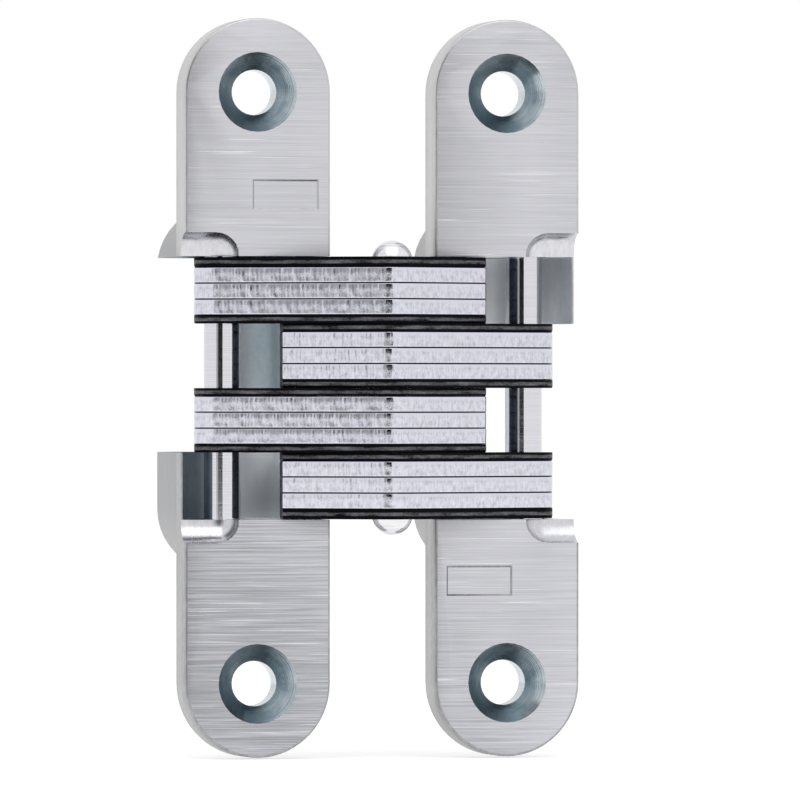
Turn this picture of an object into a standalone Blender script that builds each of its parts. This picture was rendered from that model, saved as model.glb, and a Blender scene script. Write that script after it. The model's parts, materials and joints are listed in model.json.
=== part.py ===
"""Concealed hinge: two cast leaves joined by a scissor of stacked link plates.

The hinge stands fully open. +Z runs along the pins, +X to the right leaf, and the
leaf faces look towards -Y. Each leaf is 95.25 x 19.05 mm. Four links cross on the
centre rivet: links 1 and 3 (set A) have their long arm in the left leaf, links 2 and
4 (set B) in the right leaf. A short arm turns on a fixed pin near the leaf's inner
edge, and a long arm carries a slide pin that runs in slots in the leaf's end walls.
The whole hinge is the same after half a turn about the Y axis.
"""

import math

import bmesh
import bpy
from mathutils import Matrix, Vector

MM = 0.001

# Leaf
LEAF_LENGTH = 95.25 * MM
LEAF_WIDTH = 19.05 * MM
FLANGE_THICKNESS = 6.3 * MM
LEAF_GAP = 13.84 * MM  # between the inner edges of the open leaves
EDGE_ROUND = 0.3 * MM

# Screw holes, for 82 degree flat heads
SCREW_SPACING = 76.2 * MM
SCREW_HOLE = 5.85 * MM
COUNTERSINK_MOUTH = 10.3 * MM
COUNTERSINK_ANGLE = math.radians(82)

# Casing behind the flange
CASING_LENGTH = 47.5 * MM
CASING_DEPTH = 27.1 * MM  # from the face
CASING_END_FLAT = 2.4 * MM  # left between the rounded corners of each end
CASING_FLOOR = 1.0 * MM
FLOOR_ROUND = 5.55 * MM
INNER_INSET = 0.65 * MM  # at the flange, from the inner edge
OUTER_INSET = 0.15 * MM
INNER_TAPER = 1.56 * MM  # what each side leans in by at the floor
OUTER_TAPER = 0.56 * MM
INNER_WALL = 1.0 * MM
OUTER_WALL = 0.6 * MM
OUTER_EDGE = 0.25 * MM  # the outer wall where it thins to its front edge
INNER_SILL = 9.4 * MM  # depth at which the open inner side ends
OUTER_SILL = 3.1 * MM  # depth of the outer wall's front edge
FLOOR_REACH = 11.0 * MM  # where the floor ends behind the long arms

# Bare panel on the face
PANEL_LENGTH = 8.7 * MM
PANEL_HEIGHT = 3.9 * MM
PANEL_DEPTH = 0.25 * MM
PANEL_SLOPE = 0.9  # how far a side leans in for each step down
PANEL_INSET = 1.5 * MM
PANEL_FROM_MIDDLE = 24.9 * MM

# Linkage, measured from the inner edge and the face of a leaf, hinge open
RIVET_PROJECTION = 5.5 * MM
FIXED_PIVOT_INSET = 2.2 * MM
FIXED_PIVOT_DEPTH = 5.2 * MM
SLIDE_PIVOT_INSET = 13.02 * MM
SLIDE_PIVOT_DEPTH = 5.9 * MM
CLOSED_GAP = 1.2 * MM  # between the faces, hinge shut

# Link plates
END_PLATE = 1.22 * MM  # the black plate at each end of the stack
BLACK_PLATE = 0.97 * MM
SILVER_PLATE = 1.96 * MM
SILVER_PER_LINK = 3
LINKS = 4
PLATE_GAP = 0.1 * MM
STACK_CLEARANCE = 0.15 * MM
HUB_RADIUS = 3.2 * MM
LONG_END_RADIUS = 3.63 * MM
LONG_END_INSET = 13.12 * MM
LONG_END_DEPTH = 5.6 * MM
SHORT_END_RADIUS = 3.2 * MM
TOE_INSET = 6.4 * MM
TOE_DEPTH = -0.4 * MM
TOE_RADIUS = 0.3 * MM
CROTCH_RADIUS = 2.0 * MM
RELIEF_CLEARANCE = 0.35 * MM

# Pins and rivet
FIXED_PIN = 3.175 * MM
SLIDE_PIN = 4.76 * MM
RIVET_SHANK = 3.6 * MM
RIVET_HEAD = 5.2 * MM
RIVET_HEAD_HEIGHT = 2.1 * MM
PIN_IN_WALL = 2.3 * MM
PIN_CHAMFER = 0.3 * MM
SLOT_CLEARANCE = 0.25 * MM
PIN_FIT = 0.06 * MM
TURNING_FIT = 0.09 * MM
BLIND_END = 0.3 * MM
RECESS_RADIUS = 3.05 * MM

# Smoothness of round forms
ARC_STEP = math.radians(15)
LEAF_END_STEP = math.radians(6)
CASING_STEP = math.radians(9)
SMALL_STEP = math.radians(22.5)
FLOOR_STEPS = 6
RIM_SHARES = (0.0, 0.3, 1.0)
RECESS_STEPS = 6
DOME_STEPS = 6
PIN_SIDES = 20
PLATE_HOLE_SIDES = 16
SCREW_HOLE_SIDES = 32
RECESS_SIDES = 24
SLOT_STEPS = 16
PAST = 1.0 * MM  # how far a cutter runs past the metal

SILVER = ("link steel", (0.62, 0.62, 0.65, 1.0), 0.34, 1.0)
BLACK = ("blackened steel", (0.02, 0.02, 0.022, 1.0), 0.5, 0.6)
SATIN = ("satin chrome", (0.60, 0.60, 0.63, 1.0), 0.38, 1.0)
POLISHED = ("polished steel", (0.78, 0.78, 0.80, 1.0), 0.1, 1.0)

# What follows from the sizes
GROUP_PITCH = 2 * BLACK_PLATE + SILVER_PER_LINK * SILVER_PLATE + (SILVER_PER_LINK + 2) * PLATE_GAP
STACK_HEIGHT = LINKS * GROUP_PITCH - PLATE_GAP + 2 * (END_PLATE - BLACK_PLATE)
CAVITY_LENGTH = STACK_HEIGHT + 2 * STACK_CLEARANCE
FACE_Y = (RIVET_PROJECTION + HUB_RADIUS - CASING_DEPTH) / 2
HALF_GAP = LEAF_GAP / 2
CASING_CORNER = (LEAF_WIDTH - INNER_INSET - OUTER_INSET - CASING_END_FLAT) / 2


def leaf_point(inset, depth):
    """A point of the right leaf from its inner edge and its face."""
    return Vector((HALF_GAP + inset, FACE_Y + depth))


def mirrored(point):
    """The same point of the left leaf."""
    return Vector((-point.x, point.y))


RIVET = Vector((0.0, FACE_Y - RIVET_PROJECTION))
FIXED_RIGHT = leaf_point(FIXED_PIVOT_INSET, FIXED_PIVOT_DEPTH)
SLIDE_RIGHT = leaf_point(SLIDE_PIVOT_INSET, SLIDE_PIVOT_DEPTH)
LONG_END_RIGHT = leaf_point(LONG_END_INSET, LONG_END_DEPTH)
TOE_RIGHT = leaf_point(TOE_INSET, TOE_DEPTH)
FIXED_LEFT = mirrored(FIXED_RIGHT)
SLIDE_LEFT = mirrored(SLIDE_RIGHT)


def heading(vector):
    """Angle of a flat vector from +X."""
    return math.atan2(vector.y, vector.x)


def polar(centre, radius, angle):
    """The point at a radius and an angle from a centre."""
    return centre + Vector((math.cos(angle), math.sin(angle))) * radius


def turned(vector, angle):
    """A flat vector turned anticlockwise."""
    return Matrix.Rotation(angle, 2) @ vector


def closed_rivet():
    """The rivet seen from the right leaf's fixed pin, hinge shut.

    It then lies midway between the faces, and it keeps its distance from the pin.
    """
    rise = FACE_Y - CLOSED_GAP / 2 - FIXED_RIGHT.y
    reach = (RIVET - FIXED_RIGHT).length
    return Vector((math.sqrt(reach * reach - rise * rise), rise))


# A short arm turns this far in its leaf, a long arm does the rest of the half turn
SHORT_TURN = (heading(closed_rivet()) - heading(RIVET - FIXED_RIGHT)) % (2 * math.pi)
LONG_TURN = math.pi - SHORT_TURN


def slide_path():
    """Places of the slide pin in the right leaf, from open to shut."""
    places = []
    for step in range(SLOT_STEPS + 1):
        share = step / SLOT_STEPS
        rivet = FIXED_RIGHT + turned(RIVET - FIXED_RIGHT, SHORT_TURN * share)
        places.append(rivet + turned(SLIDE_RIGHT - RIVET, LONG_TURN * share))
    return places


def arc(centre, radius, start, end, step=ARC_STEP):
    """Points along an arc, anticlockwise where end is above start."""
    steps = max(1, math.ceil(abs(end - start) / step))
    return [polar(centre, radius, start + (end - start) * i / steps) for i in range(steps + 1)]


def outer_normal(centre_a, radius_a, centre_b, radius_b):
    """Outward angle of the tangent that runs from circle a to circle b, metal on its left."""
    span = centre_b - centre_a
    return heading(span) - math.acos((radius_a - radius_b) / span.length)


def circle(centre, radius, sides):
    """Corners of a round hole or pin."""
    return [polar(centre, radius, 2 * math.pi * i / sides) for i in range(sides)]


def rewind(angle, start):
    """The same angle, at or just above start."""
    return start + (angle - start) % (2 * math.pi)


def line_meeting(point_a, normal_a, point_b, normal_b):
    """Where two lines cross, each through a point and square to a heading."""
    along_a = polar(Vector((0.0, 0.0)), 1.0, normal_a + math.pi / 2)
    along_b = polar(Vector((0.0, 0.0)), 1.0, normal_b + math.pi / 2)
    offset = point_b - point_a
    return point_a + along_a * (offset.cross(along_b) / along_a.cross(along_b))


def link_outline():
    """Outline of a set A link, anticlockwise, about the rivet as origin.

    The long arm narrows from its round end to the hub, the short arm is drawn round
    its pin and out to a toe at the face, and the crotch behind the hub is filleted.
    The back of the long arm is relieved where the other leaf's fixed pin lies.
    """
    hub = Vector((0.0, 0.0))
    long_end = mirrored(LONG_END_RIGHT) - RIVET
    short_end = FIXED_RIGHT - RIVET
    toe = TOE_RIGHT - RIVET
    pin = FIXED_LEFT - RIVET

    long_front = outer_normal(long_end, LONG_END_RADIUS, hub, HUB_RADIUS)
    toe_front = rewind(outer_normal(hub, HUB_RADIUS, toe, TOE_RADIUS), long_front)
    toe_back = rewind(outer_normal(toe, TOE_RADIUS, short_end, SHORT_END_RADIUS), toe_front)
    short_back = rewind(outer_normal(short_end, SHORT_END_RADIUS, hub, HUB_RADIUS), toe_back)
    long_back = outer_normal(hub, HUB_RADIUS, long_end, LONG_END_RADIUS)
    long_back = rewind(long_back, short_back) - 2 * math.pi

    crotch = line_meeting(
        polar(short_end, SHORT_END_RADIUS + CROTCH_RADIUS, short_back), short_back,
        polar(long_end, LONG_END_RADIUS + CROTCH_RADIUS, long_back), long_back,
    )
    relief_radius = FIXED_PIN / 2 + RELIEF_CLEARANCE
    to_edge = LONG_END_RADIUS - (pin - long_end).dot(polar(hub, 1.0, long_back))
    half = math.acos(to_edge / relief_radius)

    outline = arc(long_end, LONG_END_RADIUS, long_back, rewind(long_front, long_back))
    outline += arc(hub, HUB_RADIUS, long_front, toe_front)
    outline += arc(toe, TOE_RADIUS, toe_front, toe_back, SMALL_STEP)
    outline += arc(short_end, SHORT_END_RADIUS, toe_back, short_back)
    outline += arc(crotch, CROTCH_RADIUS, short_back + math.pi, long_back + math.pi, SMALL_STEP)
    outline += arc(pin, relief_radius, long_back - half, long_back + half - 2 * math.pi, SMALL_STEP)
    return outline


def slot_outline():
    """Outline of the slot that the slide pin runs in, in the right leaf."""
    places = slide_path()
    half_width = SLIDE_PIN / 2 + SLOT_CLEARANCE
    headings = []
    for step in range(len(places)):
        before = places[max(step - 1, 0)]
        after = places[min(step + 1, SLOT_STEPS)]
        headings.append(heading(after - before))
    right = [polar(p, half_width, h - math.pi / 2) for p, h in zip(places, headings)]
    left = [polar(p, half_width, h + math.pi / 2) for p, h in zip(places, headings)]
    far_end = arc(places[-1], half_width, headings[-1] - math.pi / 2, headings[-1] + math.pi / 2)
    near_end = arc(places[0], half_width, headings[0] + math.pi / 2, headings[0] + 1.5 * math.pi)
    return right + far_end[1:-1] + left[::-1] + near_end[1:-1]


def material(name, colour, roughness, metallic):
    """A Principled material, made once."""
    made = bpy.data.materials.get(name) or bpy.data.materials.new(name)
    made.use_nodes = True
    shader = made.node_tree.nodes["Principled BSDF"]
    shader.inputs["Base Color"].default_value = colour
    shader.inputs["Roughness"].default_value = roughness
    shader.inputs["Metallic"].default_value = metallic
    return made


def finish_mesh(bm, name, finish=None):
    """Turn a bmesh into a shaded mesh with its faces pointing out."""
    bmesh.ops.recalc_face_normals(bm, faces=bm.faces)
    mesh = bpy.data.meshes.new(name)
    bm.to_mesh(mesh)
    bm.free()
    dress(mesh, finish)
    return mesh


def dress(mesh, finish):
    """Shade a mesh smooth between its sharp edges and give it a finish."""
    mesh.shade_smooth()
    mesh.set_sharp_from_angle(angle=math.radians(30))
    if finish:
        mesh.materials.clear()
        mesh.materials.append(material(*finish))


def prism(name, loops, low, high, finish=None):
    """An outline, with any holes inside it, extruded along Z from low to high."""
    bm = bmesh.new()
    edges = []
    for loop in loops:
        corners = [bm.verts.new((point.x, point.y, low)) for point in loop]
        edges += [bm.edges.new((a, b)) for a, b in zip(corners, corners[1:] + corners[:1])]
    bmesh.ops.triangle_fill(bm, use_beauty=True, edges=edges)
    grown = bmesh.ops.extrude_face_region(bm, geom=bm.faces[:])
    raised = [item for item in grown["geom"] if isinstance(item, bmesh.types.BMVert)]
    bmesh.ops.translate(bm, verts=raised, vec=(0, 0, high - low))
    return finish_mesh(bm, name, finish)


def loft(name, rings, finish=None):
    """A skin over rings of equal count, closed by a flat cap at each end."""
    bm = bmesh.new()
    rows = [[bm.verts.new(point) for point in ring] for ring in rings]
    for low, high in zip(rows, rows[1:]):
        for i in range(len(low)):
            j = (i + 1) % len(low)
            bm.faces.new((low[i], low[j], high[j], high[i]))
    bm.faces.new(rows[0][::-1])
    bm.faces.new(rows[-1])
    return finish_mesh(bm, name, finish)


def turned_rings(profile, sides, centre, frame):
    """Rings of a turned form, from pairs of radius and height along the frame's third axis."""
    rings = []
    for radius, height in profile:
        flat = circle(Vector((0.0, 0.0)), radius, sides)
        rings.append([centre + frame @ Vector((p.x, p.y, height)) for p in flat])
    return rings


ALONG_Z = Matrix.Identity(3)
ALONG_Y = Matrix.Rotation(math.radians(-90), 3, "X")
ALONG_X = Matrix.Rotation(math.radians(90), 3, "Y")


def stadium(width, length, centre_x):
    """Plan of a leaf: straight sides and full round ends, in X and Z."""
    radius = width / 2
    top = Vector((centre_x, length / 2 - radius))
    bottom = Vector((centre_x, radius - length / 2))
    upper_end = arc(top, radius, 0.0, math.pi, LEAF_END_STEP)
    return upper_end + arc(bottom, radius, math.pi, 2 * math.pi, LEAF_END_STEP)


def flange_mesh():
    """The leaf's plate, its rim rounded at the face and the back."""
    centre_x = HALF_GAP + LEAF_WIDTH / 2
    rings = []
    for share in RIM_SHARES:
        inset = EDGE_ROUND * (1 - math.sqrt(1 - (1 - share) ** 2))
        rings.append((inset, EDGE_ROUND * share))
    rings += [(inset, FLANGE_THICKNESS - depth) for inset, depth in reversed(rings)]
    skins = []
    for inset, depth in rings:
        plan = stadium(LEAF_WIDTH - 2 * inset, LEAF_LENGTH - 2 * inset, centre_x)
        skins.append([Vector((p.x, FACE_Y + depth, p.y)) for p in plan])
    return loft("flange", skins)


def inner_side(depth):
    """Inset of the casing's inner side at a depth, its floor's rounding left out."""
    down = (depth - FLANGE_THICKNESS) / (CASING_DEPTH - FLANGE_THICKNESS)
    return INNER_INSET + INNER_TAPER * down


def outer_side(depth):
    """Inset of the casing's outer side at a depth, its floor's rounding left out."""
    down = (depth - FLANGE_THICKNESS) / (CASING_DEPTH - FLANGE_THICKNESS)
    return LEAF_WIDTH - OUTER_INSET - OUTER_TAPER * down


def casing_ring(depth, rounding):
    """The casing's rounded rectangle at a depth, drawn in by its floor's rounding."""
    left = HALF_GAP + inner_side(depth) + rounding
    right = HALF_GAP + outer_side(depth) - rounding
    half = CASING_LENGTH / 2 - rounding
    radius = CASING_CORNER - rounding
    ring = []
    corners = ((right, half, 0.0), (left, half, 0.5), (left, -half, 1.0), (right, -half, 1.5))
    for x, z, turns in corners:
        centre = Vector((x - math.copysign(radius, x - (left + right) / 2), z - math.copysign(radius, z)))
        ring += arc(centre, radius, turns * math.pi, (turns + 0.5) * math.pi, CASING_STEP)
    return [Vector((p.x, FACE_Y + depth, p.y)) for p in ring]


def casing_mesh():
    """The box behind the flange that the links fold into, leaning in towards its floor."""
    sunk = FLANGE_THICKNESS - PAST
    rings = [casing_ring(sunk, 0.0)]
    for step in range(FLOOR_STEPS + 1):
        angle = step / FLOOR_STEPS * math.pi / 2
        depth = CASING_DEPTH - FLOOR_ROUND * (1 - math.sin(angle))
        rings.append(casing_ring(depth, FLOOR_ROUND * (1 - math.cos(angle))))
    return loft("casing", rings)


def cavity_outline():
    """The hollow in section, its floor's corners rounded along with the casing's."""
    round_start = CASING_DEPTH - FLOOR_ROUND
    radius = FLOOR_ROUND - CASING_FLOOR
    inner_face = inner_side(round_start) + INNER_WALL
    outer_face = outer_side(round_start) - OUTER_WALL
    outer_corner = leaf_point(outer_face - radius, round_start)
    inner_corner = leaf_point(inner_face + radius, round_start)
    front = [
        leaf_point(-PAST, -PAST),
        leaf_point(LEAF_WIDTH - OUTER_EDGE, -PAST),
        leaf_point(LEAF_WIDTH - OUTER_EDGE, OUTER_SILL),
        leaf_point(outer_side(FLANGE_THICKNESS) - OUTER_WALL, FLANGE_THICKNESS),
    ]
    floor = arc(outer_corner, radius, 0.0, math.pi / 2) + arc(inner_corner, radius, math.pi / 2, math.pi)
    sill = [
        leaf_point(inner_side(INNER_SILL) + INNER_WALL, INNER_SILL),
        leaf_point(-PAST, INNER_SILL),
    ]
    return front + floor + sill


def leaf_cutters():
    """Everything cut from the right leaf."""
    half = CAVITY_LENGTH / 2
    wall_start = GROUP_PITCH  # between the first link and the second
    past_side = LEAF_WIDTH + PAST
    past_floor = CASING_DEPTH + PAST
    inside_wall = outer_side(CASING_DEPTH) - OUTER_WALL - PAST
    round_start = CASING_DEPTH - FLOOR_ROUND
    yield prism("cavity", [cavity_outline()], -half, half)

    # Behind the three lower links the outer side and the floor's outer part are open
    open_side = [
        leaf_point(FLOOR_REACH, past_floor),
        leaf_point(FLOOR_REACH, round_start),
        leaf_point(inside_wall, round_start),
        leaf_point(inside_wall, -PAST),
        leaf_point(past_side, -PAST),
        leaf_point(past_side, past_floor),
    ]
    yield prism("open_side", [open_side], -half, wall_start)
    wall_front = [
        leaf_point(inside_wall, -PAST),
        leaf_point(past_side, -PAST),
        leaf_point(past_side, OUTER_SILL),
        leaf_point(inside_wall, OUTER_SILL),
    ]
    yield prism("wall_front", [wall_front], wall_start, half)

    slot_half = half + PIN_IN_WALL + BLIND_END
    yield prism("slots", [slot_outline()], -slot_half, slot_half)
    pin_hole = circle(FIXED_RIGHT, FIXED_PIN / 2 + PIN_FIT, PIN_SIDES)
    yield prism("pin_holes", [pin_hole], -slot_half, slot_half)

    for side in (1, -1):
        yield screw_hole(side * SCREW_SPACING / 2)
        yield rivet_recess(side * half)

    yield panel_recess()


def panel_recess():
    """Cutter of the bare panel, its sides sloping in."""
    middle = Vector((PANEL_INSET + PANEL_LENGTH / 2, -PANEL_FROM_MIDDLE))
    rings = []
    for depth in (-PAST, PANEL_DEPTH):
        half_length = PANEL_LENGTH / 2 - PANEL_SLOPE * depth
        half_height = PANEL_HEIGHT / 2 - PANEL_SLOPE * depth
        ring = []
        for across, up in ((1, 1), (-1, 1), (-1, -1), (1, -1)):
            place = leaf_point(middle.x + across * half_length, depth)
            ring.append(Vector((place.x, place.y, middle.y + up * half_height)))
        rings.append(ring)
    return loft("panel", rings)


def screw_hole(height):
    """Cutter of one countersunk hole, on the leaf's middle line."""
    slope = math.tan(COUNTERSINK_ANGLE / 2)
    sink = (COUNTERSINK_MOUTH - SCREW_HOLE) / 2 / slope
    profile = [
        (COUNTERSINK_MOUTH / 2 + PAST * slope, -PAST),
        (SCREW_HOLE / 2, sink),
        (SCREW_HOLE / 2, FLANGE_THICKNESS + PAST),
    ]
    centre = Vector((HALF_GAP + LEAF_WIDTH / 2, FACE_Y, height))
    return loft("screw_hole", turned_rings(profile, SCREW_HOLE_SIDES, centre, ALONG_Y))


def rivet_recess(height):
    """Cutter that clears the rivet's head when the hinge is shut."""
    inset = FIXED_PIVOT_INSET + closed_rivet().x
    profile = []
    for step in range(1, RECESS_STEPS + 1):
        angle = step / RECESS_STEPS * math.pi / 2
        profile.append((RECESS_RADIUS * math.sin(angle), -RECESS_RADIUS * math.cos(angle)))
    profile.append((RECESS_RADIUS, LEAF_WIDTH - inset + PAST))
    centre = Vector((HALF_GAP + inset, FACE_Y, height))
    return loft("rivet_recess", turned_rings(profile, RECESS_SIDES, centre, ALONG_X))


def add(name, mesh, place, carrier=None):
    """An object at a place in the model, parented to what carries it."""
    made = bpy.data.objects.new(name, mesh)
    bpy.context.collection.objects.link(made)
    made.location = place
    if carrier:
        made.parent = carrier
        made.location = Vector(place) - Vector(carrier["place"])
    return made


def pivot(name, axis_point, carrier=None):
    """An empty on a joint's axis, which the moving pieces are parented to."""
    made = add(name, None, (axis_point.x, axis_point.y, 0.0), carrier)
    made["place"] = (axis_point.x, axis_point.y, 0.0)
    made.empty_display_size = LEAF_WIDTH / 4
    return made


def leaf_mesh():
    """The right leaf: flange and casing joined, then cut."""
    blank = add("leaf_blank", flange_mesh(), (0, 0, 0))
    tools = [(casing_mesh(), "UNION")] + [(cutter, "DIFFERENCE") for cutter in leaf_cutters()]
    helpers = []
    for mesh, operation in tools:
        helper = add(mesh.name, mesh, (0, 0, 0))
        cut = blank.modifiers.new(mesh.name, "BOOLEAN")
        cut.operation = operation
        cut.object = helper
        helpers.append(helper)
    shaped = bpy.data.meshes.new_from_object(blank.evaluated_get(bpy.context.evaluated_depsgraph_get()))
    shaped.name = "leaf"
    for helper in helpers + [blank]:
        bpy.data.objects.remove(helper)
    dress(shaped, SATIN)
    return shaped


def pin_mesh(name, diameter):
    """A plain pin with chamfered ends, let into both end walls."""
    half = CAVITY_LENGTH / 2 + PIN_IN_WALL
    radius = diameter / 2
    profile = [
        (radius - PIN_CHAMFER, -half),
        (radius, -half + PIN_CHAMFER),
        (radius, half - PIN_CHAMFER),
        (radius - PIN_CHAMFER, half),
    ]
    return loft(name, turned_rings(profile, PIN_SIDES, Vector((0, 0, 0)), ALONG_Z), POLISHED)


def rivet_mesh():
    """The centre rivet: a shank through all the links, and a domed head on each end."""
    seat = STACK_HEIGHT / 2 + STACK_CLEARANCE / 2
    half_width = RIVET_HEAD / 2
    ball = (half_width ** 2 + RIVET_HEAD_HEIGHT ** 2) / (2 * RIVET_HEAD_HEIGHT)
    sunk = ball - RIVET_HEAD_HEIGHT
    rim = math.atan2(half_width, sunk)
    dome = []
    for step in range(1, DOME_STEPS + 1):
        angle = rim * step / DOME_STEPS
        dome.append((ball * math.sin(angle), seat - sunk + ball * math.cos(angle)))
    upper = dome[::-1]
    profile = [(radius, -height) for radius, height in dome]
    profile += [(RIVET_SHANK / 2, -seat), (RIVET_SHANK / 2, seat)]
    profile += upper
    return loft("rivet", turned_rings(profile, PIN_SIDES, Vector((0, 0, 0)), ALONG_Z), SILVER)


def link_mesh(name, thickness, finish):
    """One flat plate of a link, drilled for the rivet and its two pins."""
    rivet = circle(Vector((0.0, 0.0)), RIVET_SHANK / 2 + TURNING_FIT, PLATE_HOLE_SIDES)
    fixed = circle(FIXED_RIGHT - RIVET, FIXED_PIN / 2 + TURNING_FIT, PLATE_HOLE_SIDES)
    slide = circle(SLIDE_LEFT - RIVET, SLIDE_PIN / 2 + TURNING_FIT, PLATE_HOLE_SIDES)
    return prism(name, [link_outline(), rivet, fixed, slide], -thickness / 2, thickness / 2, finish)


def add_links(carriers):
    """Four links from the top down, each a black plate either side of silver ones."""
    end = (link_mesh("end_plate", END_PLATE, BLACK), END_PLATE)
    black = (link_mesh("black_plate", BLACK_PLATE, BLACK), BLACK_PLATE)
    silver = (link_mesh("silver_plate", SILVER_PLATE, SILVER), SILVER_PLATE)
    top = STACK_HEIGHT / 2
    for link in range(LINKS):
        layers = [("black_upper", black if link else end)]
        layers += [(f"silver_{i + 1}", silver) for i in range(SILVER_PER_LINK)]
        layers += [("black_lower", end if link == LINKS - 1 else black)]
        for layer, (mesh, thickness) in layers:
            place = (RIVET.x, RIVET.y, top - thickness / 2)
            plate = add(f"link_{link + 1}_{layer}", mesh, place, carriers[link % 2])
            if link % 2:
                plate.rotation_euler.y = math.pi  # set B is set A turned over
            top -= thickness + PLATE_GAP


def build():
    """Model the open hinge."""
    for old in list(bpy.data.objects):
        bpy.data.objects.remove(old)

    set_b = pivot("links_b_pivot", FIXED_LEFT)
    set_a = pivot("links_a_pivot", RIVET, set_b)
    right_side = pivot("right_leaf_pivot", FIXED_RIGHT, set_a)

    leaf = leaf_mesh()
    left = add("left_leaf", leaf, (0, 0, 0))
    left.rotation_euler.y = math.pi
    add("right_leaf", leaf, (0, 0, 0), right_side)

    fixed_pin = pin_mesh("fixed_pin", FIXED_PIN)
    slide_pin = pin_mesh("slide_pin", SLIDE_PIN)
    add("left_fixed_pin", fixed_pin, (FIXED_LEFT.x, FIXED_LEFT.y, 0.0))
    add("right_fixed_pin", fixed_pin, (FIXED_RIGHT.x, FIXED_RIGHT.y, 0.0), right_side)
    add("left_slide_pin", slide_pin, (SLIDE_LEFT.x, SLIDE_LEFT.y, 0.0), set_a)
    add("right_slide_pin", slide_pin, (SLIDE_RIGHT.x, SLIDE_RIGHT.y, 0.0), set_b)
    add("centre_rivet", rivet_mesh(), (RIVET.x, RIVET.y, 0.0), set_a)
    add_links((set_a, set_b))


build()
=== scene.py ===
"""Looks of a satin chrome concealed hinge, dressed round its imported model.

The frame gives every place: the pins' axes are the frame's joint axes and boxes, and
a link plate's height and thickness are its node's. Lengths are in metres, with +Z
along the pins and the leaf faces looking towards -Y.
"""

from __future__ import annotations

import json
import logging
import math
from dataclasses import dataclass, field
from enum import Enum, IntEnum
from typing import Any, Sequence

import bmesh
import bpy
import numpy as np
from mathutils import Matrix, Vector
from mathutils.geometry import tessellate_polygon

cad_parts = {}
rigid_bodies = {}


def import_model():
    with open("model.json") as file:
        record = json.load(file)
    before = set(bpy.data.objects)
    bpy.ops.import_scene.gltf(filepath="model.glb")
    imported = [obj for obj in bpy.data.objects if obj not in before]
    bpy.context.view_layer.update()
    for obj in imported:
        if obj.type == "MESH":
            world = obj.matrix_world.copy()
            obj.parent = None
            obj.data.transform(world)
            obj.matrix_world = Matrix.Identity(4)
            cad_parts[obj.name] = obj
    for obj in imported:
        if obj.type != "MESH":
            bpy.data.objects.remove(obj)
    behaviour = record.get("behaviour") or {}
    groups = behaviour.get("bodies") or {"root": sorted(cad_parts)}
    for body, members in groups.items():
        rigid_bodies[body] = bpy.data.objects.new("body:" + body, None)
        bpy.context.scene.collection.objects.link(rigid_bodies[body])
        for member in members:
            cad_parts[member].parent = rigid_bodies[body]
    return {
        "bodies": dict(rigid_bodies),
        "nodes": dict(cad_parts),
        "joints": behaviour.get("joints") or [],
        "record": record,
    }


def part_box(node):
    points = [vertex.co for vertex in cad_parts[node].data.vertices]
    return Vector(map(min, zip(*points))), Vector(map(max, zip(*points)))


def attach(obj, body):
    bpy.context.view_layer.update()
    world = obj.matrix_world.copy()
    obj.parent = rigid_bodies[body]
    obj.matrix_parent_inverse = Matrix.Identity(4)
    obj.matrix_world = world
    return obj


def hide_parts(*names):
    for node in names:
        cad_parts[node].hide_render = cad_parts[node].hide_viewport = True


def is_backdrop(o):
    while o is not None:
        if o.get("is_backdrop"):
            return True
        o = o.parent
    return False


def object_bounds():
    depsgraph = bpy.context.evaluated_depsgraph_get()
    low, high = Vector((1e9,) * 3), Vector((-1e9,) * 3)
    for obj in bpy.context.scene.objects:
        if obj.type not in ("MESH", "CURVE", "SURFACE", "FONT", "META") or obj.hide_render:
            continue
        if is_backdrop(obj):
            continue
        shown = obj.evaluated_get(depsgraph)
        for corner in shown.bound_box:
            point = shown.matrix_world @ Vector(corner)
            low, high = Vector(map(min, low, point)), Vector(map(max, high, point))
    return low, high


LOG = logging.getLogger("hinge")
MM = 0.001
SMOOTH_BELOW = math.radians(35)
FLOOR_GAP = 0.2 * MM

Array = np.ndarray
Pair = tuple[float, float]
Triple = tuple[float, float, float]
Circle = tuple[Array, float]
Stops = tuple[tuple[float, Triple], ...]
Values = dict[Any, Any]

UNSTRETCHED: Triple = (1.0, 1.0, 1.0)
UNMOVED: Triple = (0.0, 0.0, 0.0)


class Source(Enum):
    """What a pattern follows: the place, or the piece's own map along its edge."""

    PLACE = "Object"
    EDGE = "UV"


class Side(Enum):
    """The two leaves, by the sign of their X."""

    LEFT = -1
    RIGHT = 1


class Set(Enum):
    """The two sets of links: where their long arms lie, and where their short arms do."""

    A = (Side.LEFT, Side.RIGHT)
    B = (Side.RIGHT, Side.LEFT)


class Face(IntEnum):
    """The kinds of a leaf's faces, by their material's place."""

    FRONT = 0
    FLANGE_SIDE = 1
    CASING = 2
    POCKET = 3
    COUNTERSINK = 4
    RIVET_SEAT = 5


# Shader maths


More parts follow.
